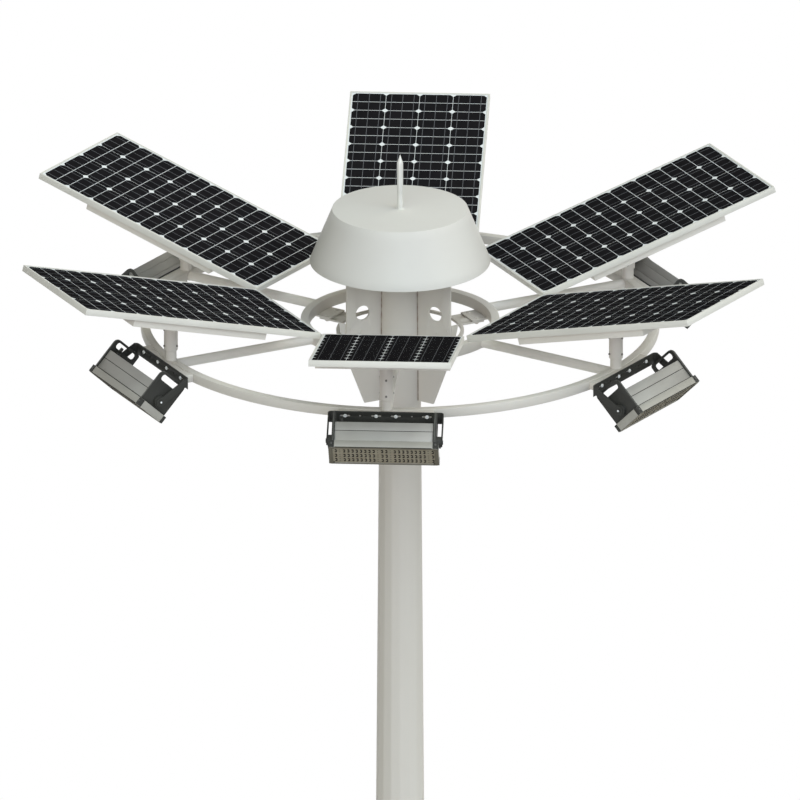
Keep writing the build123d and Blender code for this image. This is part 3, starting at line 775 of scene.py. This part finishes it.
# floor and background, not part of the object
floor_tone = bpy.data.materials.new("floor")
floor_tone.use_nodes = True
floor_bsdf = floor_tone.node_tree.nodes["Principled BSDF"]
floor_bsdf.inputs["Base Color"].default_value = (0.92, 0.92, 0.92, 1.0)
floor_bsdf.inputs["Roughness"].default_value = 0.9
floor_bsdf.inputs["Specular IOR Level"].default_value = 0.0
floor_mesh = bpy.data.meshes.new("floor")
FLOOR_HALF = 16
FLOOR_AT = -0.001
corners = [(x * FLOOR_HALF, y * FLOOR_HALF, FLOOR_AT) for x, y in ((-1, -1), (1, -1), (1, 1), (-1, 1))]
floor_mesh.from_pydata(corners, [], [(0, 1, 2, 3)])
floor_mesh.materials.append(floor_tone)
floor = bpy.data.objects.new("floor", floor_mesh)
bpy.context.scene.collection.objects.link(floor)

# plain white where it is seen, and almost no light of its own
SEEN_STRENGTH = 1.0
LIT_STRENGTH = 0.05
LIT_COLOUR = (1.0, 0.97, 0.92, 1)
world = bpy.data.worlds.new("studio")
bpy.context.scene.world = world
world.use_nodes = True
tree = world.node_tree
tree.nodes.clear()
world_out = tree.nodes.new("ShaderNodeOutputWorld")
seen = tree.nodes.new("ShaderNodeBackground")
seen.inputs["Color"].default_value = (1, 1, 1, 1)
seen.inputs["Strength"].default_value = SEEN_STRENGTH
lit = tree.nodes.new("ShaderNodeBackground")
lit.inputs["Color"].default_value = LIT_COLOUR
lit.inputs["Strength"].default_value = LIT_STRENGTH
path = tree.nodes.new("ShaderNodeLightPath")
either = tree.nodes.new("ShaderNodeMath")
either.operation = "MAXIMUM"
any_view = tree.nodes.new("ShaderNodeMath")
any_view.operation = "MAXIMUM"
pick = tree.nodes.new("ShaderNodeMixShader")
tree.links.new(path.outputs["Is Camera Ray"], either.inputs[0])
tree.links.new(path.outputs["Is Glossy Ray"], either.inputs[1])
tree.links.new(either.outputs[0], any_view.inputs[0])
tree.links.new(path.outputs["Is Transmission Ray"], any_view.inputs[1])
tree.links.new(any_view.outputs[0], pick.inputs[0])
tree.links.new(lit.outputs[0], pick.inputs[1])
tree.links.new(seen.outputs[0], pick.inputs[2])
tree.links.new(pick.outputs[0], world_out.inputs[0])


def sun(name, azimuth, elevation, strength, angle, colour=(1, 1, 1)):
    """Wide soft sun; azimuth counts from the front toward the right."""
    lamp = bpy.data.lights.new(name, "SUN")
    lamp.energy = strength
    lamp.angle = radians(angle)
    lamp.color = colour
    obj = bpy.data.objects.new(name, lamp)
    a, e = radians(azimuth), radians(elevation)
    away = Vector((sin(a) * cos(e), -cos(a) * cos(e), sin(e)))
    obj.rotation_mode = "QUATERNION"
    obj.rotation_quaternion = away.to_track_quat("Z", "Y")
    bpy.context.scene.collection.objects.link(obj)
    return obj


# four wide lamps stand in for the photo's large soft ones
sun("key", 30, 40, 1.5, 70, (0.84, 1.0, 1.2))
sun("side", 90, 40, 1.5, 70, (1.0, 1.0, 0.86))
sun("fill", -30, 40, 0.85, 70, (0.9, 1.0, 0.82))
sun("front", -15, 5, 0.65, 60, (1.0, 0.92, 0.95))

# camera: a long lens, at the photograph's angle
VIEW_AZ = 3.021
VIEW_EL = 20.723
VIEW_DISTANCE = 180.0
PIXELS_PER_METRE = 210.55
SENSOR = 36.0
PHOTO_WIDE = 800
AIM_DOWN = 0.412
AIM_LEFT = 0.00044
aim = Vector((0.0, 0.0, RING_TOP - AIM_DOWN))
a, e = radians(VIEW_AZ), radians(VIEW_EL)
back = Vector((sin(a) * cos(e), -cos(a) * cos(e), sin(e)))
right = Vector((cos(a), sin(a), 0))
camera_data = bpy.data.cameras.new("camera")
camera_data.sensor_width = SENSOR
camera_data.lens = PIXELS_PER_METRE * VIEW_DISTANCE / PHOTO_WIDE * SENSOR
camera_data.clip_start = 1.0
camera_data.clip_end = 1000.0
camera = bpy.data.objects.new("camera", camera_data)
camera.location = aim - AIM_LEFT * right + back * VIEW_DISTANCE
camera.rotation_mode = "QUATERNION"
camera.rotation_quaternion = back.to_track_quat("Z", "Y")
bpy.context.scene.collection.objects.link(camera)
bpy.context.scene.camera = camera
bpy.context.scene.view_settings.view_transform = "Standard"
